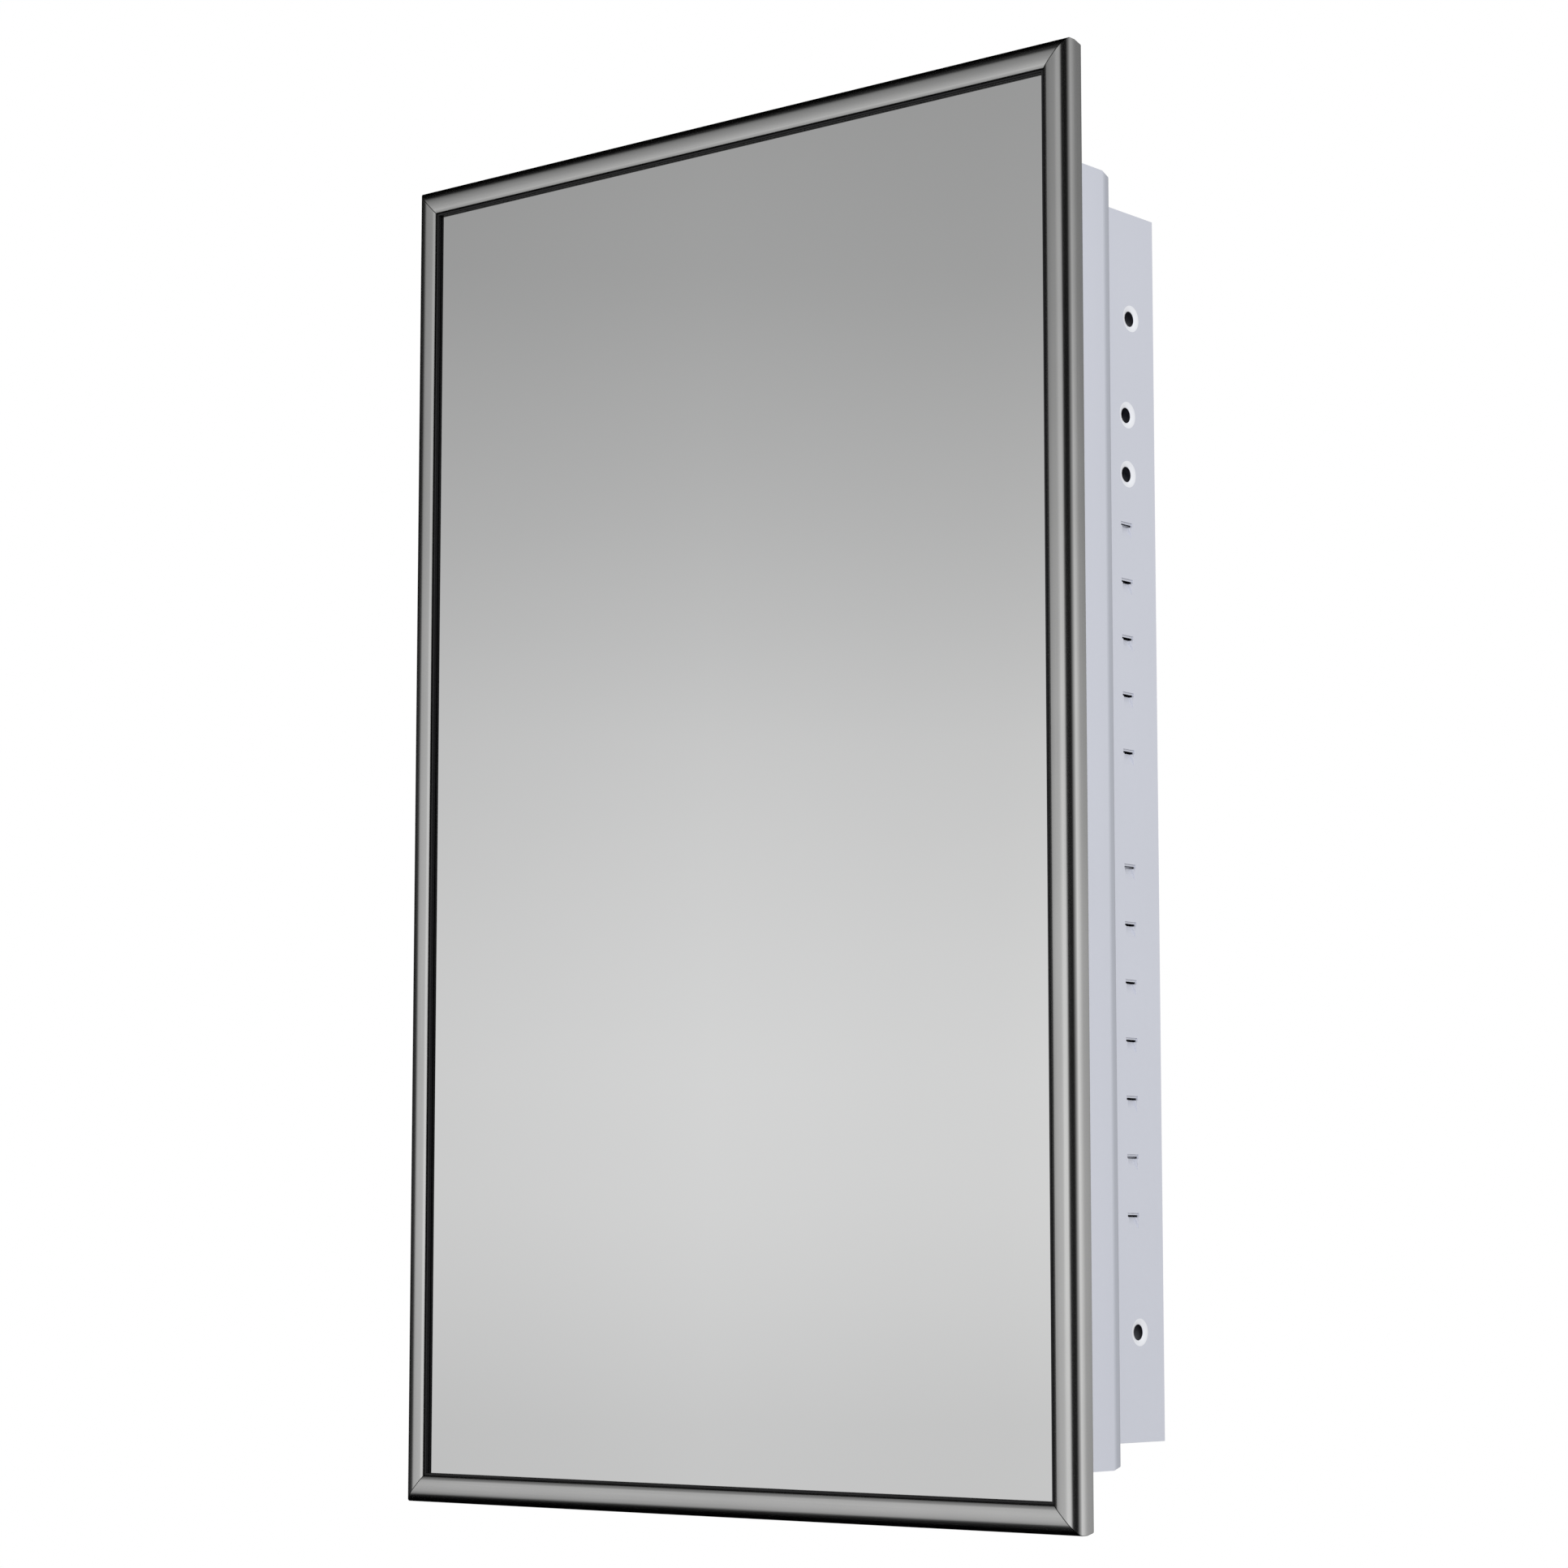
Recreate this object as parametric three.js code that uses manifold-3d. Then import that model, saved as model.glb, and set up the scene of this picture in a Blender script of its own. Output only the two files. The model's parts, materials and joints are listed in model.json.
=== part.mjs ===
// A semi-recessed medicine cabinet with a framed mirror door, in millimetres.
// The box goes into an opening in the wall, the collar round it stands on the wall, and the
// door hangs in front of the collar on a full-length hinge at its left edge.
// +X is to the right, +Y goes into the wall and +Z is up. The origin is the centre of the wall
// opening, in the wall's own plane, which the collar's rear rim sits on.
import * as THREE from "three";
import { mergeVertices } from "three/addons/utils/BufferGeometryUtils.js";
import Module from "manifold-3d";

const wasm = await Module();
wasm.setup();

// ---- Driving dimensions ----

const DOOR_WIDTH = 406.4;
const DOOR_HEIGHT = 660.4;
const DOOR_OVERHANG = 32; // door edge past the collar, all round
const BODY_DROP = 8; // how far the cabinet's centre lies below the door's
const DOOR_GAP = 5; // between the door's back and the collar, filled by the hinge and bumpers
const COLLAR_DEPTH = 61.5; // how far the collar stands off the wall
const COLLAR_MARGIN = 11; // collar's outer face past the box's
const RECESS_DEPTH = 48; // the box behind the wall's face
const SHEET = 1.2; // enamelled sheet steel
const GAP = 0.3; // between pieces that touch
const FIT = 0.2; // round a fastener, and under its head

// The door's frame: a roll-formed stainless channel
const FRAME_SHEET = 1;
const FRAME_FACE = 12.6;
const FRAME_EDGE_RADIUS = 4;
const FRAME_SIDE_FLAT = 7.5; // from the front to where the side starts to taper
const FRAME_TAPER = 1; // how far the side then leans in
const FRAME_REAR_RADIUS = 1.6;
const FRAME_BEVEL = 1.4;
const FRAME_BEVEL_DEPTH = 0.6;
const FRAME_RETURN = 1.8; // depth of the lip that holds the bead and glass
const FRAME_REAR_LIP = 12;

// The black vinyl bead between the channel's lip and the glass
const BEAD_FLANGE = 0.6;
const BEAD_ROOT = 3; // how far the flange goes under the lip
const BEAD_WIDTH = 1.2; // of the part that shows
const BEAD_DEPTH = 0.9; // its front below the frame's face

const GLASS = 4.7;
const GLASS_PLAY = 0.8; // between the glass's edge and the channel
const KEY_DEPTH = 5;
const KEY_WIDTH = 10;
const KEY_ARM = 40;
const BOARD = 4.8;
const PAN = 1;

// The collar
const COLLAR_FRONT_RADIUS = 2.5;
const COLLAR_TAPER = 1.8; // how far the side leans in at the rear
const COLLAR_TAPER_LENGTH = 8.5;
const COLLAR_REAR_RADIUS = 2.5;
const COLLAR_RIM_PLAY = 1.5; // between the collar's rear lip and the box

// The hinge
const HINGE_OFFSET = 4.5; // its axis past the collar's side
const HINGE_SHEET = 1;
const HINGE_END = 20; // collar's corner to the hinge's end
const HINGE_KNUCKLES = 11;
const KNUCKLE_GAP = 0.6;
const PIN_RADIUS = 0.9;
const HINGE_LEAF_MARGIN = 1; // leaf's edge to the box's side
const HINGE_RIVETS = 6; // in each leaf
const HINGE_RIVET_STAGGER = 0.3; // of their pitch, so that the leaves' rivet heads pass each other

// Fasteners
const RIVET = { shank: 1.5, head: 2.6, headHeight: 0.9, tail: 2.3, tailHeight: 0.8 };
const CORNER_SCREW = { shank: 1.5, head: 2.9, headHeight: 1.4 };
const CORNER_SCREW_AT = 24; // along the key's arm, from its corner
const CATCH_SCREW = { shank: 1.4, head: 2.6, headHeight: 1.3 };
const CATCH_SCREW_REACH = 3; // past the side panel

// Shelf rests: tongues lanced out of the side panels, in a front and a rear column
const REST_TOP = 150.5; // box's top to the first rest
const REST_PITCH = 26.8;
const REST_BOTTOM = 101.5; // least height of a rest above the box's bottom
const REST_LEFT_OUT = 5; // the place in each column that has none
const REST_REACH = 3.6;
const REST_LENGTH = 9;
const REST_DROP = 5.5;
const REST_LEDGE = 1.2;
const REST_SLIT = 1.8;
const REST_REAR = 23.5; // box's back to the rear column
const REST_FRONT = 36; // collar's front to the front column

// Side holes that screws go through into the wall's studs
const SIDE_HOLE_RADIUS = 3.7;
const SIDE_HOLES = [
  { belowTop: 50.5, fromBack: 18.5 },
  { belowTop: 97.3, fromBack: 22 },
  { belowTop: 125.5, fromBack: 22 },
  { aboveBottom: 49.8, fromBack: 19.3 },
];

// Shelves
const SHELF_SHEET = 1;
const SHELF_SIDE_PLAY = 1.5;
const SHELF_SETBACK = 24; // behind the collar's front
const SHELF_FRONT_LIP = 12;
const SHELF_HEM = 5;
const SHELF_REAR_LIP = 8;
const SHELF_REAR_PLAY = 3;

// The magnetic catch, inside the right-hand side panel
const CATCH = { width: 13, depth: 17, height: 38 };
const CATCH_SCREW_SPREAD = 28;
const CATCH_WALL = 2;
const POLE_SHEET = 1.2;
const POLE_STAND_OUT = 0.5; // poles in front of their housing
const MAGNET = { width: 4, depth: 9, height: 18 };
const STRIKE = { width: 13, height: 62, sheet: 1 };
const STRIKE_RIVET_SPREAD = 50;

const BUMPER_RADIUS = 4;
const BUMPER_INSET = 25; // from the collar's top or bottom

// ---- Places that follow from them ----

const collarWidth = DOOR_WIDTH - 2 * DOOR_OVERHANG;
const collarHeight = DOOR_HEIGHT - 2 * DOOR_OVERHANG;
const boxWidth = collarWidth - 2 * COLLAR_MARGIN;
const boxHeight = collarHeight - 2 * COLLAR_MARGIN;
const insideWidth = boxWidth - 2 * SHEET;
const frontY = -COLLAR_DEPTH;
const backY = RECESS_DEPTH;

// Depths in the door, from its front
const beadFront = FRAME_RETURN + GAP;
const glassFront = beadFront + BEAD_FLANGE + GAP;
const keyFront = glassFront + GLASS + GAP;
const rearLipFront = keyFront + KEY_DEPTH + GAP;
const rearLipBack = rearLipFront + FRAME_SHEET;
const panFront = rearLipBack + GAP;
const doorDepth = panFront + PAN;
const doorFrontY = frontY - DOOR_GAP - doorDepth;
const keyInset = FRAME_SHEET + FRAME_TAPER + GAP;
const panInset = FRAME_TAPER + FRAME_REAR_RADIUS;
const cornerScrewInset = keyInset + KEY_WIDTH / 2;

// The hinge's axis, and its leaves either side of it
const hingeX = -collarWidth / 2 - HINGE_OFFSET;
const hingeY = frontY - DOOR_GAP / 2;
const hingeLength = collarHeight - 2 * HINGE_END;
const knuckleRadius = DOOR_GAP / 2 - GAP;
const leafInner = knuckleRadius - HINGE_SHEET;
const leafWidth = HINGE_OFFSET + COLLAR_MARGIN - HINGE_LEAF_MARGIN;
const hingeRivetX = -collarWidth / 2 + COLLAR_MARGIN / 2;
const rivetPitch = hingeLength / HINGE_RIVETS;
const rivetZs = (stagger) =>
  Array.from({ length: HINGE_RIVETS }, (_, i) => (i + 0.5 + stagger) * rivetPitch - hingeLength / 2);
const cabinetRivetZs = rivetZs(-HINGE_RIVET_STAGGER / 2);
const doorRivetZs = rivetZs(HINGE_RIVET_STAGGER / 2);

const catchX = insideWidth / 2 - GAP - CATCH.width / 2;
const catchFrontY = frontY - DOOR_GAP + GAP + STRIKE.sheet + GAP + POLE_STAND_OUT;
const catchScrewY = catchFrontY + CATCH.depth / 2;
const catchScrewZs = [-CATCH_SCREW_SPREAD / 2, CATCH_SCREW_SPREAD / 2];
const strikeRivetZs = [-STRIKE_RIVET_SPREAD / 2, STRIKE_RIVET_SPREAD / 2];

const restZ = (place) => boxHeight / 2 - REST_TOP - place * REST_PITCH;
const restCount = 1 + Math.floor((boxHeight - REST_TOP - REST_BOTTOM) / REST_PITCH);
const restPlaces = Array.from({ length: restCount }, (_, i) => i).filter((i) => i !== REST_LEFT_OUT);
const shelfPlaces = {
  shelf_upper: restPlaces[0],
  shelf_middle: restPlaces[Math.floor(restPlaces.length / 2) - 1],
  shelf_lower: restPlaces[restPlaces.length - 2],
};

// ---- Materials ----

const surface = (color, metalness, roughness) =>
  new THREE.MeshStandardMaterial({ color, metalness, roughness, flatShading: true });
const STAINLESS = surface(0xb2b2b1, 1, 0.3);
const MIRROR = surface(0xc9c9c9, 1, 0.03);
const ENAMEL = surface(0xdfe1ea, 0, 0.35);
const ZINC = surface(0xa9abae, 1, 0.45);
const BOARD_GREY = surface(0x8a8784, 0, 0.9);
const PLASTIC = surface(0xe4e3df, 0, 0.5);
const FERRITE = surface(0x35322f, 0.2, 0.7);
const RUBBER = surface(0x9c9c9a, 0, 0.85);
const VINYL = surface(0x1d1d1f, 0, 0.6);

// ---- Making solids ----

function solid(geometry) {
  const bare = new THREE.BufferGeometry();
  bare.setAttribute("position", geometry.getAttribute("position"));
  bare.setIndex(geometry.index);
  const merged = mergeVertices(bare, 1e-4);
  const mesh = new wasm.Mesh({
    numProp: 3,
    vertProperties: merged.getAttribute("position").array,
    triVerts: new Uint32Array(merged.index.array),
  });
  return new wasm.Manifold(mesh);
}

function geometryOf(manifold) {
  const { vertProperties, triVerts } = manifold.getMesh();
  const geometry = new THREE.BufferGeometry();
  geometry.setAttribute("position", new THREE.BufferAttribute(Float32Array.from(vertProperties), 3));
  geometry.setIndex(new THREE.BufferAttribute(Uint32Array.from(triVerts), 1));
  geometry.computeVertexNormals();
  return geometry;
}

const join = (...pieces) => geometryOf(pieces.map(solid).reduce((whole, piece) => whole.add(piece)));
const cut = (piece, tools) =>
  geometryOf(tools.reduce((rest, tool) => rest.subtract(solid(tool)), solid(piece)));

// A block between two opposite corners.
function block([x0, y0, z0], [x1, y1, z1]) {
  const geometry = new THREE.BoxGeometry(x1 - x0, y1 - y0, z1 - z0);
  return geometry.translate((x0 + x1) / 2, (y0 + y1) / 2, (z0 + z1) / 2);
}

// A block given by its centre and size.
function centred(centre, size) {
  return new THREE.BoxGeometry(...size).translate(...centre);
}

// A round bar about a point, lying along one axis.
function bar(radius, length, axis, centre, sides = 12) {
  const geometry = new THREE.CylinderGeometry(radius, radius, length, sides);
  if (axis === "x") geometry.rotateZ(Math.PI / 2);
  if (axis === "z") geometry.rotateX(Math.PI / 2);
  return geometry.translate(...centre);
}

// Points on an arc about [u, v].
function arc([u, v], radius, from, to, steps = 4) {
  return Array.from({ length: steps + 1 }, (_, i) => {
    const angle = from + ((to - from) * i) / steps;
    return [u + radius * Math.cos(angle), v + radius * Math.sin(angle)];
  });
}

// The rounded end of a side that leans in by a taper over its last length: the arc's centre as
// [inset, depth], and the lean.
function taperEnd(taper, length, end, radius) {
  const lean = Math.atan2(taper, length);
  const inset = (radius + Math.sin(lean) * (length - radius)) / Math.cos(lean);
  return { centre: [inset, end - radius], lean };
}

const outline = (points) => new THREE.Shape(points.map(([u, v]) => new THREE.Vector2(u, v)));

// A closed ring of one section round a rectangle. A section point is [inset from the rectangle, y].
function ring(section, width, height) {
  const corners = [[-1, -1], [-1, 1], [1, 1], [1, -1]];
  const positions = corners.flatMap(([right, up]) =>
    section.flatMap(([inset, y]) => [right * (width / 2 - inset), y, up * (height / 2 - inset)]),
  );
  const count = section.length;
  const index = [];
  corners.forEach((_, corner) => {
    const next = (corner + 1) % corners.length;
    for (let i = 0; i < count; i++) {
      const j = (i + 1) % count;
      const [a, b, c, d] = [corner * count + i, corner * count + j, next * count + j, next * count + i];
      index.push(a, c, b, a, d, c);
    }
  });
  const geometry = new THREE.BufferGeometry();
  geometry.setAttribute("position", new THREE.Float32BufferAttribute(positions, 3));
  geometry.setIndex(index);
  geometry.computeVertexNormals();
  return geometry;
}

// A fastener along +Y, its head's underside at y = 0 and the head on the -Y side.
function fastener({ shank, head, headHeight, tail, tailHeight }, length) {
  const profile = [
    [0, -headHeight],
    [0.7 * head, -headHeight],
    [head, -0.35 * headHeight],
    [head, 0],
    [shank, 0],
    [shank, length],
  ];
  if (tail) profile.push([tail, length], [tail, length + tailHeight], [0, length + tailHeight]);
  else profile.push([0.6 * shank, length + shank / 3], [0, length + shank / 3]);
  const points = profile.map(([r, y]) => new THREE.Vector2(r, y));
  return new THREE.LatheGeometry(points, 8);
}

const part = new THREE.Group();
const door = new THREE.Group();
door.position.set(0, doorFrontY, BODY_DROP);
part.add(door);

function place(group, name, geometry, material, position = [0, 0, 0], rotation = [0, 0, 0]) {
  const mesh = new THREE.Mesh(geometry, material);
  mesh.name = name;
  mesh.position.set(...position);
  mesh.rotation.set(...rotation);
  group.add(mesh);
  return mesh;
}

// ---- The box in the wall ----

// A tongue that a shelf rests on: flat on top, sloping back to the right-hand side panel below.
function restTongue(y, z) {
  const root = SHEET / 2;
  const section = outline([
    [root, 0],
    [-REST_REACH, 0],
    [-REST_REACH, -REST_LEDGE],
    [root, -REST_DROP],
  ]);
  const tongue = new THREE.ExtrudeGeometry(section, { depth: REST_LENGTH, bevelEnabled: false });
  return tongue.rotateX(Math.PI / 2).translate(insideWidth / 2, y + REST_LENGTH / 2, z);
}

const restYs = [frontY + REST_FRONT, backY - REST_REAR];
const restSpots = restPlaces.flatMap((i) => restYs.map((y) => ({ y, z: restZ(i) })));

// The right-hand side panel. The left-hand one is its mirror image.
function sidePanel(moreCuts = []) {
  const sheet = block([insideWidth / 2, frontY, -boxHeight / 2], [boxWidth / 2, backY, boxHeight / 2]);
  const tongues = restSpots.map(({ y, z }) => restTongue(y, z));
  const slits = restSpots.map(({ y, z }) =>
    centred([insideWidth / 2, y, z + REST_SLIT / 2], [4 * SHEET, REST_LENGTH, REST_SLIT]),
  );
  const holes = SIDE_HOLES.map(({ belowTop, aboveBottom, fromBack }) => {
    const z = belowTop ? boxHeight / 2 - belowTop : aboveBottom - boxHeight / 2;
    return bar(SIDE_HOLE_RADIUS, 4 * SHEET, "x", [insideWidth / 2, backY - fromBack, z], 16);
  });
  return cut(join(sheet, ...tongues), [...slits, ...holes, ...moreCuts]);
}

const catchScrewHoles = catchScrewZs.map((z) =>
  bar(CATCH_SCREW.shank + FIT, 4 * SHEET, "x", [insideWidth / 2, catchScrewY, z], 8),
);
place(part, "side_right", sidePanel(catchScrewHoles), ENAMEL);
place(part, "side_left", sidePanel(), ENAMEL).scale.set(-1, 1, 1);

const endPanelSize = [insideWidth - 2 * GAP, backY - frontY, SHEET];
for (const [name, up] of [["top_panel", 1], ["bottom_panel", -1]]) {
  const centre = [0, (frontY + backY) / 2, (up * (boxHeight - SHEET)) / 2];
  place(part, name, centred(centre, endPanelSize), ENAMEL);
}

const backSize = [insideWidth - 2 * GAP, SHEET, boxHeight - 2 * SHEET - 2 * GAP];
place(part, "back_panel", centred([0, backY - SHEET / 2, 0], backSize), ENAMEL);

// ---- The collar ----

function collarSection() {
  const front = COLLAR_FRONT_RADIUS;
  const rear = COLLAR_REAR_RADIUS;
  const { centre, lean } = taperEnd(COLLAR_TAPER, COLLAR_TAPER_LENGTH, 0, rear);
  const flangeEnd = COLLAR_MARGIN - GAP;
  const lipEnd = COLLAR_MARGIN - COLLAR_RIM_PLAY;
  return [
    [flangeEnd, frontY],
    ...arc([front, frontY + front], front, -Math.PI / 2, -Math.PI),
    [0, -COLLAR_TAPER_LENGTH],
    ...arc(centre, rear, Math.PI - lean, Math.PI / 2),
    [lipEnd, 0],
    [lipEnd, -SHEET],
    ...arc(centre, rear - SHEET, Math.PI / 2, Math.PI - lean),
    [SHEET, -COLLAR_TAPER_LENGTH],
    ...arc([front, frontY + front], front - SHEET, -Math.PI, -Math.PI / 2),
    [flangeEnd, frontY + SHEET],
  ];
}

const collarHoles = cabinetRivetZs.map((z) =>
  bar(RIVET.shank + FIT, 6 * SHEET, "y", [hingeRivetX, frontY, z], 8),
);
place(part, "collar", cut(ring(collarSection(), collarWidth, collarHeight), collarHoles), ENAMEL);

// ---- Shelves ----

function shelf() {
  const front = frontY + SHELF_SETBACK;
  const rear = backY - SHEET - SHELF_REAR_PLAY;
  const t = SHELF_SHEET;
  const section = outline([
    [front, t],
    [front, t - SHELF_FRONT_LIP],
    [front + SHELF_HEM, t - SHELF_FRONT_LIP],
    [front + SHELF_HEM, 2 * t - SHELF_FRONT_LIP],
    [front + t, 2 * t - SHELF_FRONT_LIP],
    [front + t, 0],
    [rear, 0],
    [rear, SHELF_REAR_LIP],
    [rear - t, SHELF_REAR_LIP],
    [rear - t, t],
  ]);
  const width = insideWidth - 2 * SHELF_SIDE_PLAY;
  const sheet = new THREE.ExtrudeGeometry(section, { depth: width, bevelEnabled: false });
  return sheet.rotateX(Math.PI / 2).rotateZ(Math.PI / 2).translate(-width / 2, 0, 0);
}

for (const [name, restPlace] of Object.entries(shelfPlaces)) {
  place(part, name, shelf(), ENAMEL, [0, 0, restZ(restPlace) + GAP]);
}

// ---- The hinge ----

const knucklePitch = hingeLength / HINGE_KNUCKLES;

// A leaf and its knuckles about the hinge's axis. toward is +1 for the collar's leaf and -1 for
// the door's, first is the number of its lowest knuckle, and zs are its rivets' heights.
function hingeLeaf(toward, first, zs) {
  const sheetYs = [toward * leafInner, toward * knuckleRadius].sort((a, b) => a - b);
  const knuckles = [];
  const tabs = [];
  for (let k = first; k < HINGE_KNUCKLES; k += 2) {
    const z = (k + 0.5) * knucklePitch - hingeLength / 2;
    const half = (knucklePitch - KNUCKLE_GAP) / 2;
    knuckles.push(bar(knuckleRadius, 2 * half, "z", [0, 0, z]));
    tabs.push(block([0, sheetYs[0], z - half], [knuckleRadius + 2 * GAP + FIT, sheetYs[1], z + half]));
  }
  const edge = knuckleRadius + 2 * GAP;
  const sheet = block([edge, sheetYs[0], -hingeLength / 2], [leafWidth, sheetYs[1], hingeLength / 2]);
  const bore = bar(PIN_RADIUS + GAP, hingeLength + 2, "z", [0, 0, 0]);
  const rivetHoles = zs.map((z) =>
    bar(RIVET.shank + FIT, DOOR_GAP, "y", [hingeRivetX - hingeX, (toward * DOOR_GAP) / 2, z], 8),
  );
  return cut(join(sheet, ...tabs, ...knuckles), [bore, ...rivetHoles]);
}

const hingeSpot = [hingeX, hingeY, 0];
const doorHingeSpot = [hingeX, hingeY - doorFrontY, -BODY_DROP];
place(part, "hinge_leaf_cabinet", hingeLeaf(1, 0, cabinetRivetZs), STAINLESS, hingeSpot);
place(door, "hinge_leaf_door", hingeLeaf(-1, 1, doorRivetZs), STAINLESS, doorHingeSpot);
place(part, "hinge_pin", bar(PIN_RADIUS, hingeLength, "z", [0, 0, 0]), STAINLESS, hingeSpot);

// Rivets hold each leaf, and the strike plate, to the sheet behind it.
const rivetGrip = HINGE_SHEET + GAP + 2 * FIT;
cabinetRivetZs.forEach((z, i) => {
  const spot = [hingeRivetX, hingeY + leafInner - FIT, z];
  place(part, `cabinet_rivet_${i + 1}`, fastener(RIVET, rivetGrip + SHEET), ZINC, spot);
});
doorRivetZs.forEach((z, i) => {
  const spot = [hingeRivetX, hingeY - doorFrontY - leafInner + FIT, z - BODY_DROP];
  place(door, `door_rivet_${i + 1}`, fastener(RIVET, rivetGrip + PAN), ZINC, spot, [Math.PI, 0, 0]);
});

// ---- The door ----

// The channel's section: [inset from the door's edge, depth from its front].
function railSection() {
  const edge = FRAME_EDGE_RADIUS;
  const rear = FRAME_REAR_RADIUS;
  const t = FRAME_SHEET;
  const { centre, lean } = taperEnd(FRAME_TAPER, rearLipBack - FRAME_SIDE_FLAT, rearLipBack, rear);
  return [
    [FRAME_REAR_LIP, rearLipBack],
    ...arc(centre, rear, Math.PI / 2, Math.PI - lean, 3),
    [0, FRAME_SIDE_FLAT],
    ...arc([edge, edge], edge, Math.PI, 1.5 * Math.PI),
    [FRAME_FACE - FRAME_BEVEL, 0],
    [FRAME_FACE, FRAME_BEVEL_DEPTH],
    [FRAME_FACE, FRAME_RETURN],
    [FRAME_FACE - t, FRAME_RETURN],
    [FRAME_FACE - t, FRAME_BEVEL_DEPTH + t],
    [FRAME_FACE - FRAME_BEVEL - t, t],
    ...arc([edge, edge], edge - t, 1.5 * Math.PI, Math.PI),
    [t, FRAME_SIDE_FLAT],
    ...arc(centre, rear - t, Math.PI - lean, Math.PI / 2, 3),
    [FRAME_REAR_LIP, rearLipFront],
  ];
}

// A length of the channel along Z with mitred ends, its outer face at x = 0.
function rail(length) {
  const section = outline(railSection());
  const channel = new THREE.ExtrudeGeometry(section, { depth: length, bevelEnabled: false });
  const position = channel.getAttribute("position");
  for (let i = 0; i < position.count; i++) {
    const reach = length / 2 - position.getX(i) - GAP / 2;
    position.setZ(i, position.getZ(i) > length / 2 ? reach : -reach);
  }
  const holes = [-1, 1].map((end) => {
    const z = end * (length / 2 - keyInset - CORNER_SCREW_AT);
    return bar(CORNER_SCREW.shank + FIT, 4 * FRAME_SHEET, "y", [cornerScrewInset, rearLipBack, z], 8);
  });
  return cut(channel, holes);
}

const rails = [
  { name: "frame_left", length: DOOR_HEIGHT, spot: [-DOOR_WIDTH / 2, 0, 0], turn: 0 },
  { name: "frame_top", length: DOOR_WIDTH, spot: [0, 0, DOOR_HEIGHT / 2], turn: Math.PI / 2 },
  { name: "frame_right", length: DOOR_HEIGHT, spot: [DOOR_WIDTH / 2, 0, 0], turn: Math.PI },
  { name: "frame_bottom", length: DOOR_WIDTH, spot: [0, 0, -DOOR_HEIGHT / 2], turn: -Math.PI / 2 },
];
for (const { name, length, spot, turn } of rails) {
  place(door, name, rail(length), STAINLESS, spot, [0, turn, 0]);
}

// The bead's flange lies under the channel's lip, and its nose shows between lip and glass.
const noseStart = FRAME_FACE + GAP;
const beadSection = [
  [noseStart + BEAD_WIDTH, BEAD_DEPTH],
  [noseStart, BEAD_DEPTH],
  [noseStart, beadFront],
  [FRAME_FACE - BEAD_ROOT, beadFront],
  [FRAME_FACE - BEAD_ROOT, beadFront + BEAD_FLANGE],
  [noseStart + BEAD_WIDTH, beadFront + BEAD_FLANGE],
];
place(door, "glazing_bead", ring(beadSection, DOOR_WIDTH, DOOR_HEIGHT), VINYL);

// A flat piece of the door, set in from its edges all round.
function doorSheet(inset, front, depth) {
  const size = [DOOR_WIDTH - 2 * inset, depth, DOOR_HEIGHT - 2 * inset];
  return centred([0, front + depth / 2, 0], size);
}

const boardInset = keyInset + KEY_WIDTH + 2 * GAP;
place(door, "mirror_glass", doorSheet(FRAME_SHEET + GLASS_PLAY, glassFront, GLASS), MIRROR);
place(door, "backing_board", doorSheet(boardInset, keyFront, BOARD), BOARD_GREY);

// L-shaped keys join the rails at the corners, behind the glass.
const keyCorners = [
  { name: "top_left", right: -1, up: 1 },
  { name: "top_right", right: 1, up: 1 },
  { name: "bottom_left", right: -1, up: -1 },
  { name: "bottom_right", right: 1, up: -1 },
];
const keyEdge = (right, up) => [right * (DOOR_WIDTH / 2 - keyInset), up * (DOOR_HEIGHT / 2 - keyInset)];

// The corner's two screw spots in the door's plane: one on each arm of its key.
function screwSpots({ right, up }) {
  const [x, z] = keyEdge(right, up);
  const mid = KEY_WIDTH / 2;
  return [
    [x - right * CORNER_SCREW_AT, z - up * mid],
    [x - right * mid, z - up * CORNER_SCREW_AT],
  ];
}

const screwHole = ([x, z], depth) =>
  bar(CORNER_SCREW.shank + FIT, 4 * KEY_DEPTH, "y", [x, depth, z], 8);

function cornerKey(corner) {
  const [x, z] = keyEdge(corner.right, corner.up);
  const arm = (alongX, alongZ) => {
    const middle = keyFront + KEY_DEPTH / 2;
    const centre = [x - (corner.right * alongX) / 2, middle, z - (corner.up * alongZ) / 2];
    return centred(centre, [alongX, KEY_DEPTH, alongZ]);
  };
  const holes = screwSpots(corner).map((spot) => screwHole(spot, keyFront));
  return cut(join(arm(KEY_ARM, KEY_WIDTH), arm(KEY_WIDTH, KEY_ARM)), holes);
}

const cornerScrewLength = doorDepth + FIT - (keyFront + FIT) - CORNER_SCREW.shank / 3;
for (const corner of keyCorners) {
  place(door, `corner_key_${corner.name}`, cornerKey(corner), ZINC);
  screwSpots(corner).forEach(([x, z], i) => {
    const screw = fastener(CORNER_SCREW, cornerScrewLength);
    const name = `corner_screw_${corner.name}_${i + 1}`;
    place(door, name, screw, ZINC, [x, doorDepth + FIT, z], [Math.PI, 0, 0]);
  });
}

const rivetHole = (x, z) => bar(RIVET.shank + FIT, 4 * PAN, "y", [x, doorDepth, z], 8);
const panHoles = [
  ...keyCorners.flatMap(screwSpots).map((spot) => screwHole(spot, doorDepth)),
  ...doorRivetZs.map((z) => rivetHole(hingeRivetX, z - BODY_DROP)),
  ...strikeRivetZs.map((z) => rivetHole(catchX, z - BODY_DROP)),
];
place(door, "door_back_pan", cut(doorSheet(panInset, panFront, PAN), panHoles), ENAMEL);

// ---- The catch ----

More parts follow.
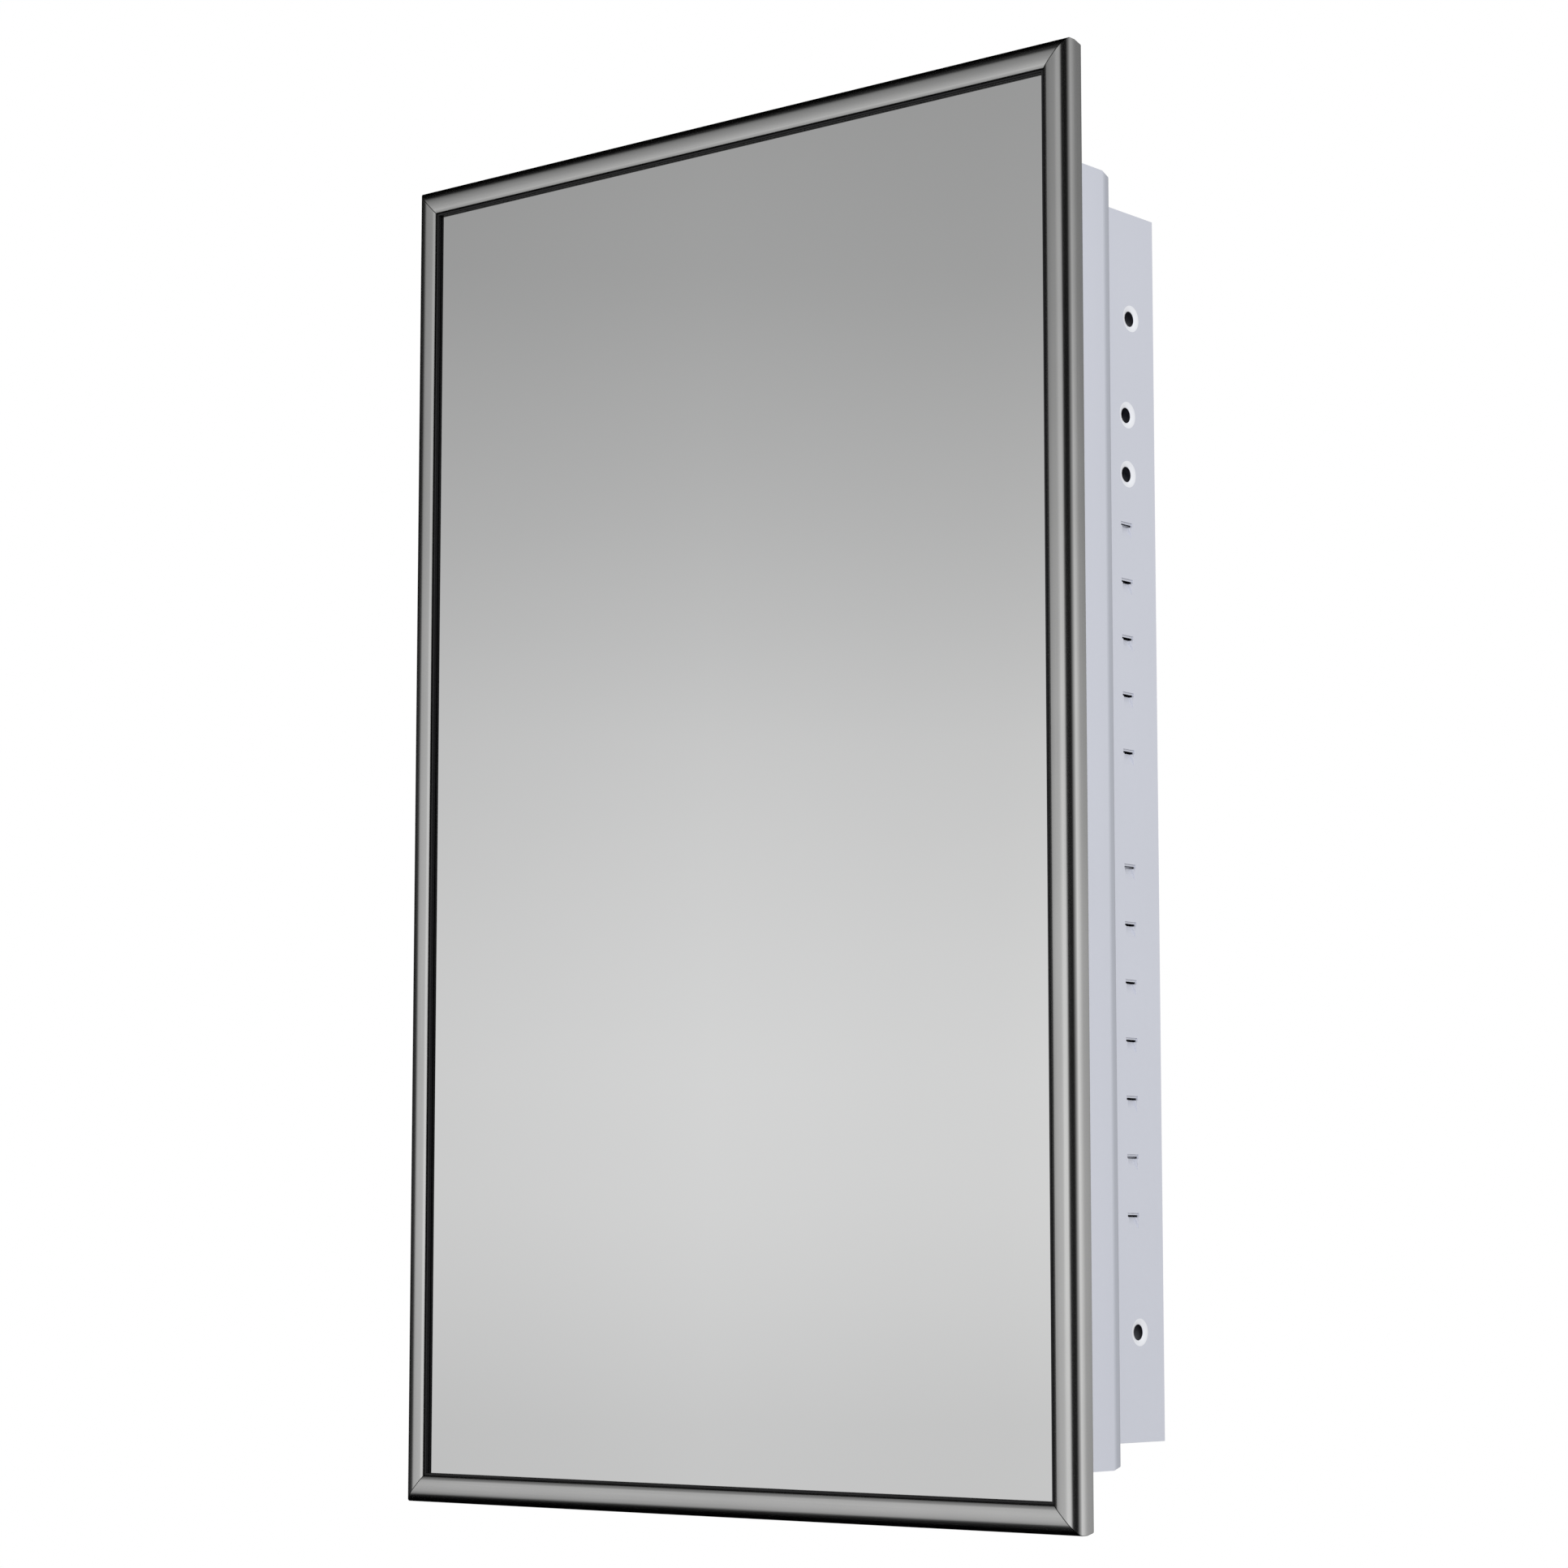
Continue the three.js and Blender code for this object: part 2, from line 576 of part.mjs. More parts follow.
const strikeFront = doorDepth + GAP;
const strikeHoles = strikeRivetZs.map((z) =>
  bar(RIVET.shank + FIT, 4 * STRIKE.sheet, "y", [0, 0, z], 8),
);
const strikePlate = cut(centred([0, 0, 0], [STRIKE.width, STRIKE.sheet, STRIKE.height]), strikeHoles);
place(door, "strike_plate", strikePlate, ZINC, [catchX, strikeFront + STRIKE.sheet / 2, -BODY_DROP]);
strikeRivetZs.forEach((z, i) => {
  const spot = [catchX, strikeFront + STRIKE.sheet + FIT, z - BODY_DROP];
  const rivet = fastener(RIVET, STRIKE.sheet + GAP + PAN + 2 * FIT);
  place(door, `strike_rivet_${i + 1}`, rivet, ZINC, spot, [Math.PI, 0, 0]);
});

// The housing's pocket takes the magnet between its two poles.
const pocketWidth = MAGNET.width + 2 * (POLE_SHEET + GAP) + 2 * GAP;
const pocketDepth = MAGNET.depth + GAP;
const pocketHeight = MAGNET.height + 2 * GAP;
const housing = block(
  [-CATCH.width / 2, 0, -CATCH.height / 2],
  [CATCH.width / 2, CATCH.depth, CATCH.height / 2],
);
const pocket = block(
  [-pocketWidth / 2, -1, -pocketHeight / 2],
  [pocketWidth / 2, pocketDepth, pocketHeight / 2],
);
const sinkX = -CATCH_WALL - CATCH.width / 2;
const screwSink = catchScrewZs.map((z) =>
  bar(CATCH_SCREW.head + FIT, CATCH.width, "x", [sinkX, CATCH.depth / 2, z]),
);
const screwWay = catchScrewZs.map((z) =>
  bar(CATCH_SCREW.shank + FIT, 2 * CATCH.width, "x", [0, CATCH.depth / 2, z], 8),
);
const catchSpot = [catchX, catchFrontY, 0];
place(part, "catch_housing", cut(housing, [pocket, ...screwSink, ...screwWay]), PLASTIC, catchSpot);
const magnet = centred([0, MAGNET.depth / 2, 0], [MAGNET.width, MAGNET.depth, MAGNET.height]);
place(part, "catch_magnet", magnet, FERRITE, catchSpot);
for (const [name, right] of [["catch_pole_left", -1], ["catch_pole_right", 1]]) {
  const x = right * (MAGNET.width / 2 + GAP + POLE_SHEET / 2);
  const pole = centred(
    [x, (MAGNET.depth - POLE_STAND_OUT) / 2, 0],
    [POLE_SHEET, MAGNET.depth + POLE_STAND_OUT, MAGNET.height],
  );
  place(part, name, pole, ZINC, catchSpot);
}

catchScrewZs.forEach((z, i) => {
  const headX = catchX - CATCH_WALL - FIT;
  const reach = boxWidth / 2 + CATCH_SCREW_REACH - headX;
  const screw = fastener(CATCH_SCREW, reach);
  place(part, `catch_screw_${i + 1}`, screw, ZINC, [headX, catchScrewY, z], [0, 0, -Math.PI / 2]);
});

// ---- Bumpers ----

const bumperX = collarWidth / 2 - COLLAR_MARGIN / 2;
for (const [name, up] of [["bumper_top", 1], ["bumper_bottom", -1]]) {
  const z = up * (collarHeight / 2 - BUMPER_INSET);
  place(part, name, bar(BUMPER_RADIUS, DOOR_GAP - 2 * GAP, "y", [bumperX, hingeY, z], 16), RUBBER);
}

export default part;
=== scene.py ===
"""Looks for the semi-recessed medicine cabinet: finished pieces, materials, studio and camera."""

import json
import math

import bmesh
import bpy
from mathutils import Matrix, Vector

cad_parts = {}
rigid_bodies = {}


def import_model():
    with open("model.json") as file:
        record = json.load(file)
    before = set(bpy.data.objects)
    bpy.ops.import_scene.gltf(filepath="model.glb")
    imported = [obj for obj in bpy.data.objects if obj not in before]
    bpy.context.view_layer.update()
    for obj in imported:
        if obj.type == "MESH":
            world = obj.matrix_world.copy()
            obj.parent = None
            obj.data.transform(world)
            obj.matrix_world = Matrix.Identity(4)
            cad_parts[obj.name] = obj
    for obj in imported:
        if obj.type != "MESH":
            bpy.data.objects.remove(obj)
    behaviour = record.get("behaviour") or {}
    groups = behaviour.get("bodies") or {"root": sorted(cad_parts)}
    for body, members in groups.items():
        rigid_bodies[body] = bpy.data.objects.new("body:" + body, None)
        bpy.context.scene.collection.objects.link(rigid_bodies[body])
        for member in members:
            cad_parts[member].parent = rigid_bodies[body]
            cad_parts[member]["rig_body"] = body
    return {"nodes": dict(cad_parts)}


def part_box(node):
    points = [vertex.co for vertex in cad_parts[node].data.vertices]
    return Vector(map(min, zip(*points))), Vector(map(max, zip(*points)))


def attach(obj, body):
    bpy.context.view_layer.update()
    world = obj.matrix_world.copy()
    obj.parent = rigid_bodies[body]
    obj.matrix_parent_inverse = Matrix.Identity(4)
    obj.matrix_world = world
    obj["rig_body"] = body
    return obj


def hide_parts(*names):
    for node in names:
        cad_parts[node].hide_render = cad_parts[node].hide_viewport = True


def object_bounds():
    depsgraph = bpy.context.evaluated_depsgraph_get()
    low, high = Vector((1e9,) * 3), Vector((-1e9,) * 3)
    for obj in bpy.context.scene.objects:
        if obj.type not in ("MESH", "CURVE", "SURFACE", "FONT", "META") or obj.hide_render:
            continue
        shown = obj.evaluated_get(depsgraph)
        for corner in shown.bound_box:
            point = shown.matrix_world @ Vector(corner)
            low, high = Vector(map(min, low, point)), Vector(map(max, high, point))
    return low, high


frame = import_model()
cad_low, cad_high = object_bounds()
scene = bpy.context.scene
MM = 0.001

# ---- Sizes of the sections that are redrawn finely, in metres ----

# The door's channel
CHANNEL_SHEET = 1.0 * MM
CHANNEL_FACE = 12.6 * MM
CHANNEL_EDGE_REACH = 6.5 * MM  # how far in from the side the front edge starts to roll over
CHANNEL_EDGE_DEPTH = 4.0 * MM
CHANNEL_SIDE_FLAT = 7.5 * MM
CHANNEL_TAPER = 1.0 * MM
CHANNEL_REAR_RADIUS = 1.6 * MM
CHANNEL_BEVEL = 1.4 * MM
CHANNEL_BEVEL_DEPTH = 0.6 * MM
CHANNEL_RETURN = 1.8 * MM
CHANNEL_REAR_LIP = 12.0 * MM
CROWN = 0.3 * MM  # how far the face falls away towards the glass
CROWN_STEPS = 8
MITRE_GAP = 0.25 * MM

# The glazing bead
BEAD_NOSE = 1.2 * MM
BEAD_DEPTH = 0.9 * MM
BEAD_START = CHANNEL_FACE + 0.3 * MM
BEAD_BACK = 2.7 * MM
BEAD_FLANGE = 0.6 * MM
BEAD_ROOT = 3.0 * MM
BEAD_ROUND = 0.5 * MM

# The collar
ENAMEL_SHEET = 1.2 * MM
COLLAR_FRONT_RADIUS = 2.5 * MM
COLLAR_TAPER = 1.8 * MM
COLLAR_TAPER_LENGTH = 8.5 * MM
COLLAR_REAR_RADIUS = 2.5 * MM
COLLAR_MARGIN = 11.0 * MM
COLLAR_FLANGE_GAP = 0.3 * MM
COLLAR_RIM_PLAY = 1.5 * MM

# Pressings in the side panels: holes as (below the box's top, from its back), then the shelf rests
HOLES = ((50.5 * MM, 18.5 * MM), (97.3 * MM, 22 * MM), (125.5 * MM, 22 * MM), (524.6 * MM, 19.3 * MM))
HOLE_RADIUS = 3.7 * MM
DIMPLE_RADIUS = 6.3 * MM
DIMPLE_DEPTH = 1.0 * MM
REST_TOP = 150.5 * MM
REST_PITCH = 26.8 * MM
REST_PLACES = (0, 1, 2, 3, 4, 6, 7, 8, 9, 10, 11, 12)
REST_LENGTH = 9 * MM
REST_DENT = 2.3 * MM  # how deep the sheet is pushed in at its slit
REST_DENT_HEIGHT = 5.2 * MM
REST_WALL = 0.8 * MM  # left at each end of a dent
REST_SLIT = 1.8 * MM
REST_OPENING = 0.95 * MM
REST_LIP_DEPTH = 0.75 * MM
REST_REAR = 23.5 * MM
REST_FRONT = 36 * MM

# Soft edges
SHEET_BREAK = 0.15 * MM
FOLD_BREAK = 0.5 * MM
CAST_BREAK = 0.5 * MM
BREAK_ANGLE = math.radians(40)  # an edge sharper than this is broken
SMOOTH_ANGLE = math.radians(36)  # an edge blunter than this is shaded smooth
FLAT_ANGLE = math.radians(0.5)  # CAD facets flatter than this are one face
TURNED_SIDES = 40

# Rivets, screws and bumpers
RIVET_SHANK = 1.5 * MM
RIVET_HEAD = 0.9 * MM
RIVET_TAIL = 2.3 * MM
RIVET_TAIL_HEIGHT = 0.8 * MM
RIVET_TAIL_BREAK = 0.2 * MM
SCREW_SHANK = 1.45 * MM
CORNER_SCREW_HEAD = 1.4 * MM
CATCH_SCREW_HEAD = 1.3 * MM
BUMPER_NOSE = 1.2 * MM
BUMPER_FOOT = 0.3 * MM

# ---- Measures of the frame ----


def span(*names):
    """The box round several CAD nodes."""
    boxes = [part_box(name) for name in names]
    low = Vector([min(box[0][i] for box in boxes) for i in range(3)])
    high = Vector([max(box[1][i] for box in boxes) for i in range(3)])
    return low, high


door_low, door_high = span("frame_left", "frame_right", "frame_top", "frame_bottom")
door_centre = (door_low + door_high) / 2
door_front = door_low.y
collar_low, collar_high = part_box("collar")
box_high = span("side_left", "side_right", "top_panel", "back_panel")[1]


# ---- Shader nodes ----


class Shader:
    """A material, with short ways to add and link its nodes."""

    def __init__(self, name):
        self.material = bpy.data.materials.new(name)
        self.material.use_nodes = True
        self.tree = self.material.node_tree
        self.bsdf = self.tree.nodes["Principled BSDF"]
        self.place = self.add("ShaderNodeTexCoord").outputs["Object"]

    def add(self, kind, **settings):
        node = self.tree.nodes.new(kind)
        for key, value in settings.items():
            setattr(node, key, value)
        return node

    def link(self, source, target):
        self.tree.links.new(source, target)

    def drive(self, name, value):
        """Links a value to one of the surface's inputs."""
        self.link(value, self.bsdf.inputs[name])

    def set(self, **values):
        for key, value in values.items():
            self.bsdf.inputs[key.replace("_", " ")].default_value = value

    def stretched(self, scale):
        """The object's own coordinates, scaled along each axis."""
        mapping = self.add("ShaderNodeMapping")
        mapping.inputs["Scale"].default_value = scale
        self.link(self.place, mapping.inputs["Vector"])
        return mapping.outputs["Vector"]

    def noise(self, scale, detail=3.0, roughness=0.55, vector=None):
        node = self.add("ShaderNodeTexNoise")
        node.inputs["Scale"].default_value = scale
        node.inputs["Detail"].default_value = detail
        node.inputs["Roughness"].default_value = roughness
        self.link(vector or self.place, node.inputs["Vector"])
        return node.outputs["Fac"]

    def ranged(self, value, low, high, start=0.3, end=0.7):
        node = self.add("ShaderNodeMapRange")
        node.inputs["From Min"].default_value = start
        node.inputs["From Max"].default_value = end
        node.inputs["To Min"].default_value = low
        node.inputs["To Max"].default_value = high
        self.link(value, node.inputs["Value"])
        return node.outputs["Result"]

    def blended(self, factor, first, second):
        node = self.add("ShaderNodeMix", data_type="RGBA")
        for socket, tone in ((node.inputs[6], first), (node.inputs[7], second)):
            if isinstance(tone, tuple):
                socket.default_value = (*tone, 1)
            else:
                self.link(tone, socket)
        self.link(factor, node.inputs[0])
        return node.outputs[2]

    def bump(self, height, strength, distance):
        node = self.add("ShaderNodeBump")
        node.inputs["Strength"].default_value = strength
        node.inputs["Distance"].default_value = distance
        self.link(height, node.inputs["Height"])
        self.drive("Normal", node.outputs["Normal"])


# ---- Materials ----


def brushed_steel(name, axis):
    """Satin stainless steel with its grain along one axis."""
    shader = Shader(name)
    scale = [1900.0, 1900.0, 1900.0]
    scale["xyz".index(axis)] = 9.0
    grain = shader.noise(1.0, detail=4.0, roughness=0.75, vector=shader.stretched(scale))
    cloud = shader.noise(11.0, detail=3.0)
    shader.set(Metallic=1.0)
    tone = shader.blended(shader.ranged(cloud, 0, 1), (0.575, 0.575, 0.57), (0.625, 0.625, 0.62))
    shader.drive("Base Color", tone)
    shader.drive("Roughness", shader.ranged(grain, 0.13, 0.23))
    shader.bump(grain, 0.1, 0.04 * MM)
    return shader.material


def silvered_glass():
    """The mirror: silvered plate glass with a trace of wipe marks."""
    shader = Shader("silvered_glass")
    shader.set(Metallic=1.0)
    wipes = shader.noise(3.0, detail=5.0, roughness=0.6, vector=shader.stretched((1.0, 1.0, 2.6)))
    tone = shader.blended(shader.ranged(wipes, 0, 1), (0.886, 0.89, 0.889), (0.899, 0.902, 0.901))
    shader.drive("Base Color", tone)
    shader.drive("Roughness", shader.ranged(wipes, 0.004, 0.014))
    return shader.material


def enamel(name, light=(0.672, 0.693, 0.773), dark=(0.65, 0.67, 0.748), painted_rim_shade=False):
    """Baked enamel on sheet steel: orange peel under a soft gloss, with painted shade (a greyer colour)
    where a rim leans back.
    """
    shader = Shader(name)
    shader.set(Coat_Weight=0.3, Coat_Roughness=0.14, Coat_IOR=1.5)
    cloud = shader.noise(5.0, detail=4.0, roughness=0.6)
    peel = shader.noise(420.0, detail=2.0, roughness=0.5)
    tone = shader.blended(shader.ranged(cloud, 0, 1), dark, light)
    # Painted shade: faces that lean back towards the wall get a greyer enamel colour, standing in for
    # the shade on the collar's rear rim.
    if painted_rim_shade:
        facing = shader.add("ShaderNodeSeparateXYZ")
        shader.link(shader.add("ShaderNodeNewGeometry").outputs["Normal"], facing.inputs[0])
        rim_shade_mask = shader.ranged(facing.outputs["Y"], 0, 1, start=0.02, end=0.12)
        tone = shader.blended(rim_shade_mask, tone, (0.5, 0.522, 0.588))
    shader.drive("Base Color", tone)
    shader.drive("Roughness", shader.ranged(peel, 0.32, 0.42))
    shader.bump(peel, 0.16, 0.1 * MM)
    return shader.material


def plated(name):
    """Zinc plate: a fine crystalline mottle."""
    shader = Shader(name)
    shader.set(Metallic=1.0)
    spangle = shader.add("ShaderNodeTexVoronoi", feature="F1")
    spangle.inputs["Scale"].default_value = 900.0
    shader.link(shader.place, spangle.inputs["Vector"])
    mottle = spangle.outputs["Color"]
    tone = shader.blended(shader.ranged(mottle, 0, 1, 0, 1), (0.5, 0.51, 0.52), (0.66, 0.67, 0.68))
    shader.drive("Base Color", tone)
    shader.drive("Roughness", shader.ranged(mottle, 0.28, 0.42, 0, 1))
    return shader.material


def dull(name, light, dark, roughness, grain_scale, depth):
    """A dull moulded, pressed or sintered stuff with a fine grain."""
    shader = Shader(name)
    grain = shader.noise(grain_scale, detail=4.0, roughness=0.65)
    shader.drive("Base Color", shader.blended(shader.ranged(grain, 0, 1), dark, light))
    shader.drive("Roughness", shader.ranged(grain, roughness - 0.06, roughness + 0.06))
    shader.bump(grain, 0.35, depth)
    return shader.material


STEEL_X = brushed_steel("stainless_grain_x", "x")
STEEL_Z = brushed_steel("stainless_grain_z", "z")
MIRROR = silvered_glass()
ENAMEL = enamel("white_enamel")
# The collar's enamel, with painted shade on its rear rim.
RIM_SHADED_ENAMEL = enamel("white_enamel_rim_painted_shade", painted_rim_shade=True)
# Painted highlight: a brighter enamel for the sloping faces of the dimples round the holes, standing in
# for the light they catch.
DIMPLE_HIGHLIGHT_ENAMEL = enamel("white_enamel_painted_highlight", (0.92, 0.935, 0.98), (0.89, 0.905, 0.95))
ZINC = plated("zinc_plate")
BOARD = dull("fibre_board", (0.27, 0.26, 0.24), (0.19, 0.18, 0.17), 0.85, 700.0, 0.15 * MM)
PLASTIC = dull("catch_plastic", (0.76, 0.75, 0.71), (0.7, 0.69, 0.65), 0.42, 1500.0, 0.03 * MM)
FERRITE = dull("ferrite", (0.05, 0.045, 0.04), (0.025, 0.022, 0.02), 0.6, 2500.0, 0.05 * MM)
RUBBER = dull("rubber", (0.36, 0.36, 0.35), (0.29, 0.29, 0.285), 0.72, 1800.0, 0.05 * MM)
VINYL = dull("black_vinyl", (0.014, 0.014, 0.015), (0.008, 0.008, 0.009), 0.5, 1800.0, 0.02 * MM)


# ---- Mesh helpers ----


def mesh_object(name, vertices, faces):
    mesh = bpy.data.meshes.new(name)
    mesh.from_pydata(vertices, [], faces)
    mesh.update()
    piece = bpy.data.objects.new(name, mesh)
    scene.collection.objects.link(piece)
    return piece


def reworked(mesh, work):
    """Runs a bmesh function on a mesh."""
    cage = bmesh.new()
    cage.from_mesh(mesh)
    work(cage)
    cage.to_mesh(mesh)
    cage.free()


def solid_object(name, vertices, faces):
    """A closed mesh whose faces all look outwards."""
    piece = mesh_object(name, vertices, faces)
    reworked(piece.data, lambda cage: bmesh.ops.recalc_face_normals(cage, faces=cage.faces))
    return piece


def settle(piece):
    """Turns the piece's modifiers into mesh."""
    view = bpy.context.evaluated_depsgraph_get()
    shaped = bpy.data.meshes.new_from_object(piece.evaluated_get(view))
    piece.modifiers.clear()
    piece.data = shaped


def soften(piece, width, segments=2):
    """Breaks the piece's sharp edges."""
    bevel = piece.modifiers.new("edge_break", "BEVEL")
    bevel.width = width
    bevel.segments = segments
    bevel.limit_method = "ANGLE"
    bevel.angle_limit = BREAK_ANGLE
    settle(piece)


def combine(piece, other, operation="DIFFERENCE"):
    """Takes the other's shape out of the piece, or adds it with "UNION"."""
    boolean = piece.modifiers.new("combine", "BOOLEAN")
    boolean.object = other
    boolean.operation = operation
    boolean.solver = "EXACT"
    settle(piece)
    bpy.data.objects.remove(other)


def shade(piece):
    """Smooth shading that keeps flat faces flat."""
    piece.data.polygons.foreach_set("use_smooth", [True] * len(piece.data.polygons))
    piece.data.set_sharp_from_angle(angle=SMOOTH_ANGLE)
    piece.modifiers.new("flat_faces", "WEIGHTED_NORMAL").keep_sharp = True
    settle(piece)


def finish_piece(piece, node, material):
    """Gives the piece its material and puts it in a CAD node's place, on that node's body."""
    shade(piece)
    piece.data.materials.clear()
    piece.data.materials.append(material)
    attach(piece, frame["nodes"][node]["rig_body"])
    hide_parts(node)


def cad_copy(node):
    """A new object with the CAD node's shape, its flat faces made whole."""
    mesh = frame["nodes"][node].data.copy()

    def clean(cage):
        bmesh.ops.remove_doubles(cage, verts=cage.verts, dist=1e-6)
        bmesh.ops.dissolve_limit(cage, angle_limit=FLAT_ANGLE, verts=cage.verts, edges=cage.edges)

    reworked(mesh, clean)
    piece = bpy.data.objects.new(f"{node}_finish", mesh)
    scene.collection.objects.link(piece)
    return piece


def softened(nodes, material, width):
    for node in nodes:
        piece = cad_copy(node)
        soften(piece, width)
        finish_piece(piece, node, material)


def oval(centre, radii, start, end, steps=10):
    """Points on part of an ellipse, with angles in degrees."""
    angles = [math.radians(start + (end - start) * i / steps) for i in range(steps + 1)]
    return [(centre[0] + radii[0] * math.cos(a), centre[1] + radii[1] * math.sin(a)) for a in angles]


def arc(centre, radius, start, end, steps=10):
    return oval(centre, (radius, radius), start, end, steps)


def taper_end(taper, length, end, radius):
    """The arc that rounds off a side leaning in over its last length: its centre and its lean."""
    lean = math.atan2(taper, length)
    inset = (radius + math.sin(lean) * (length - radius)) / math.cos(lean)
    return (inset, end - radius), math.degrees(lean)


def lofted(name, sections, closed=False):
    """A solid through outlines that have the same number of points. A closed one is a ring."""
    count = len(sections[0])
    faces = []
    for first in range(len(sections) if closed else len(sections) - 1):
        here, there = first * count, (first + 1) % len(sections) * count
        for i in range(count):
            j = (i + 1) % count
            faces.append([here + i, here + j, there + j, there + i])
    if not closed:
        last = (len(sections) - 1) * count
        faces += [list(range(count)), list(range(last, last + count))]
    return solid_object(name, [point for section in sections for point in section], faces)


def ring(name, outline, low, high):
    """A rectangular ring. The outline's points are (inset, y)."""
    corners = [(low.x, low.z, 1, 1), (low.x, high.z, 1, -1)]
    corners += [(high.x, high.z, -1, -1), (high.x, low.z, -1, 1)]
    sections = [[(x + right * a, y, z + up * a) for a, y in outline] for x, z, right, up in corners]
    return lofted(name, sections, closed=True)


def turned(name, profile, origin, axis):
    """A lathe-turned piece. The profile's points are (radius, distance along the axis)."""
    u = Vector((0, 0, 1))
    v = axis.cross(u)
    vertices, rings = [], []
    for radius, distance in profile:
        centre = origin + axis * distance
        sides = TURNED_SIDES if radius else 1
        rings.append(list(range(len(vertices), len(vertices) + sides)))
        turns = [math.tau * i / sides for i in range(sides)]
        vertices += [centre + (u * math.cos(a) + v * math.sin(a)) * radius for a in turns]
    faces = []
    for first, second in zip(rings, rings[1:]):
        for i in range(TURNED_SIDES):
            j = (i + 1) % TURNED_SIDES
            corners = [first[i % len(first)], first[j % len(first)]]
            corners += [second[j % len(second)], second[i % len(second)]]
            faces.append(list(dict.fromkeys(corners)))
    return solid_object(name, vertices, faces)


# ---- The door's frame and glazing bead ----


def channel_outline():
    """The channel's outline as (inset, depth) points."""
    reach, depth, rear, t = CHANNEL_EDGE_REACH, CHANNEL_EDGE_DEPTH, CHANNEL_REAR_RADIUS, CHANNEL_SHEET
    end = door_high.y - door_front
    centre, lean = taper_end(CHANNEL_TAPER, end - CHANNEL_SIDE_FLAT, end, rear)
    crest, lip = CHANNEL_FACE - CHANNEL_BEVEL, CHANNEL_FACE
    shares = [i / CROWN_STEPS for i in range(1, CROWN_STEPS)]
    crown = [(reach + (crest - reach) * share, CROWN * share**2) for share in shares]
    return [
        (CHANNEL_REAR_LIP, end),
        *arc(centre, rear, 90, 180 - lean),
        (0, CHANNEL_SIDE_FLAT),
        *oval((reach, depth), (reach, depth), 180, 270, 18),
        *crown,
        (crest, CROWN),
        (lip - 0.3 * MM, CHANNEL_BEVEL_DEPTH),
        (lip, CHANNEL_BEVEL_DEPTH + 0.3 * MM),
        (lip, CHANNEL_RETURN),
        (lip - t, CHANNEL_RETURN),
        (lip - t, CHANNEL_BEVEL_DEPTH + t),
        (crest - t / 2, CROWN + t),
        *oval((reach, depth), (reach - t, depth - t), 270, 180, 14),
        (t, CHANNEL_SIDE_FLAT),
        *arc(centre, rear - t, 180 - lean, 90),
        (CHANNEL_REAR_LIP, end - t),
    ]


def rail(name, along, edge, inward, material):
    """One mitred rail, along "x" or "z" at the given edge of the door."""
    start, end = (door_low.z, door_high.z) if along == "z" else (door_low.x, door_high.x)
    sections = []
    for end_place, sign in ((start, 1), (end, -1)):
        section = []
        for inset, depth in channel_outline():
            lengthwise = end_place + sign * (inset + MITRE_GAP)
            across = edge + inward * inset
            x, z = (across, lengthwise) if along == "z" else (lengthwise, across)
            section.append((x, door_front + depth, z))
        sections.append(section)
    piece = lofted(f"{name}_finish", sections)
    finish_piece(piece, name, material)


rail("frame_left", "z", door_low.x, 1, STEEL_Z)
rail("frame_right", "z", door_high.x, -1, STEEL_Z)
rail("frame_bottom", "x", door_low.z, 1, STEEL_X)
rail("frame_top", "x", door_high.z, -1, STEEL_X)


def bead_outline():
    nose, round_off = BEAD_START + BEAD_NOSE, BEAD_ROUND
    depths = [
        *arc((nose - round_off, BEAD_DEPTH + round_off), round_off, 0, -90, 6),
        *arc((BEAD_START + round_off, BEAD_DEPTH + round_off), round_off, 270, 180, 6),
        (BEAD_START, BEAD_BACK - BEAD_FLANGE),
        (CHANNEL_FACE - BEAD_ROOT, BEAD_BACK - BEAD_FLANGE),
        (CHANNEL_FACE - BEAD_ROOT, BEAD_BACK),
        (nose, BEAD_BACK),
    ]
    return [(inset, door_front + depth) for inset, depth in depths]


bead = ring("glazing_bead_finish", bead_outline(), door_low, door_high)
finish_piece(bead, "glazing_bead", VINYL)


# ---- The collar ----


def collar_outline():
    front, rear, t = COLLAR_FRONT_RADIUS, COLLAR_REAR_RADIUS, ENAMEL_SHEET
    start, end = collar_low.y, collar_high.y
    centre, lean = taper_end(COLLAR_TAPER, COLLAR_TAPER_LENGTH, end, rear)
    flange = COLLAR_MARGIN - COLLAR_FLANGE_GAP
    lip = COLLAR_MARGIN - COLLAR_RIM_PLAY
    return [
        (flange, start),
        *arc((front, start + front), front, 270, 180),
        (0, end - COLLAR_TAPER_LENGTH),
        *arc(centre, rear, 180 - lean, 90),
        (lip, end),
        (lip, end - t),
        *arc(centre, rear - t, 90, 180 - lean),
        (t, end - COLLAR_TAPER_LENGTH),
        *arc((front, start + front), front - t, 180, 270),
        (flange, start + t),
    ]


collar = ring("collar_finish", collar_outline(), collar_low, collar_high)
finish_piece(collar, "collar", RIM_SHADED_ENAMEL)


# ---- The side panels, with dimpled holes and pressed rests ----


def dimple(side, y, z):
    """A cone that sinks a dimple round one hole."""
    margin = 0.2 * MM
    slope = (DIMPLE_RADIUS - HOLE_RADIUS) / DIMPLE_DEPTH
    mouth = DIMPLE_RADIUS + slope * margin
    profile = [(0, -margin), (mouth, -margin), (HOLE_RADIUS, DIMPLE_DEPTH), (0, DIMPLE_DEPTH)]
    origin = Vector((side * box_high.x, y, z))
    return turned("dimple", profile, origin, Vector((-side, 0, 0)))


def dent(side, y, z):
    """A wedge that sinks the sheet below one slit."""
    margin = 0.5 * MM
    out, deep = side * (box_high.x + margin), side * (box_high.x - REST_DENT)
    foot = z - REST_DENT_HEIGHT * (1 + margin / REST_DENT)
    profile = [(out, z + 0.1 * MM), (deep, z + 0.1 * MM), (deep, z - 0.2 * MM), (out, foot)]
    half = REST_LENGTH / 2 - REST_WALL
    ends = (y - half, y + half)
    return lofted("dent", [[(x, end, height) for x, height in profile] for end in ends])


